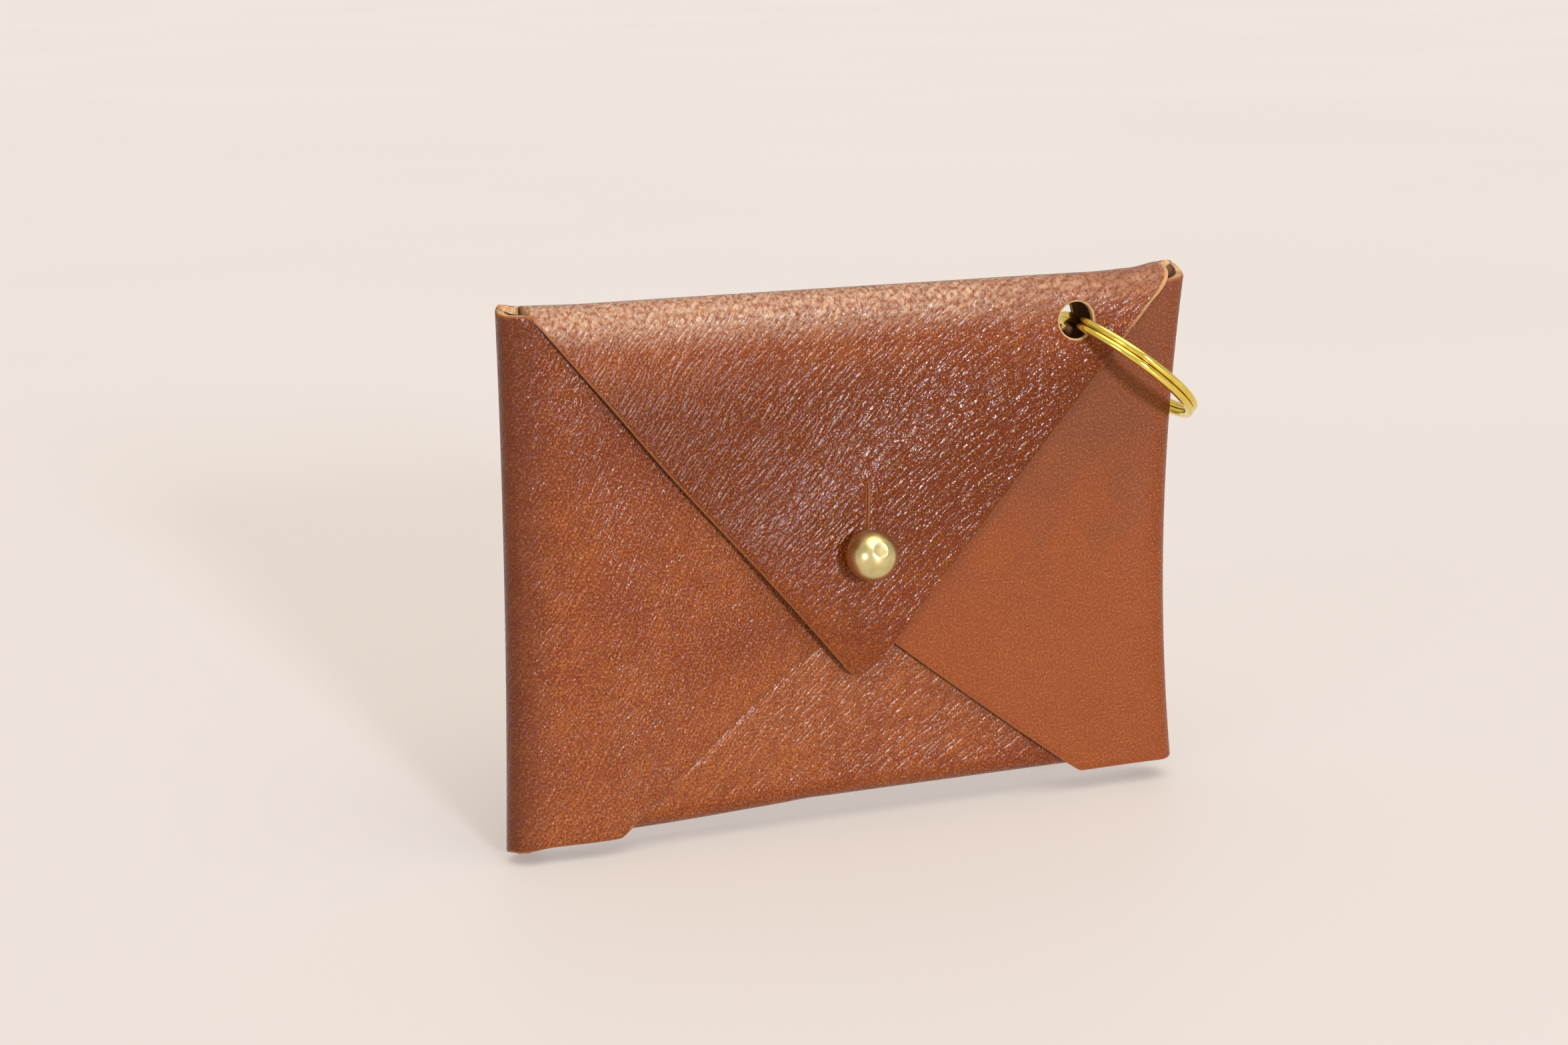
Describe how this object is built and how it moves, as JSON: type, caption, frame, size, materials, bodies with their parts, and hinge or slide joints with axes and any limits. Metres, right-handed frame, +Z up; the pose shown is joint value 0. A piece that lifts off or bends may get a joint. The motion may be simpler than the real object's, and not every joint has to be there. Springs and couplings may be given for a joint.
{
  "type": "envelope card holder",
  "caption": "Leather envelope card holder with a pointed front flap held by a ball stud, and a split key ring through a punched corner hole.",
  "frame": {"origin": "middle of the whole part's width and depth, at the height of the side folds' bottom ends, which stand on the table", "axes": "+Z up towards the top fold, X along the width with the key ring on the +X side, the front with the stud faces -Y"},
  "size_m": [0.1062, 0.026, 0.0795],
  "materials": {
    "leather": "pebbled full grain, semi-gloss, raw cut edges",
    "stud_brass": "satin",
    "ring_brass": "polished"
  },
  "bodies": {
    "holder": {"back_panel": "leather", "left_fold": "leather", "left_flap": "leather", "right_fold": "leather", "right_flap": "leather", "bottom_fold": "leather", "bottom_flap": "leather", "top_fold": "leather", "stud_head": "stud_brass", "stud_screw": "stud_brass"},
    "flap": {"top_flap": "leather"},
    "ring": {"key_ring": "ring_brass"}
  },
  "joints": [
    {"name": "flap_open", "type": "hinge", "parent": "holder", "child": "flap", "pos_m": [-0.0008, -0.00496, 0.062], "axis": [-1, 0, 0], "range_deg": [0, 135]},
    {"name": "ring_swing", "type": "hinge", "parent": "holder", "child": "ring", "pos_m": [0.03325, 0.00049, 0.0723], "axis": [0, -1, 0], "range_deg": [0, 190]}
  ]
}
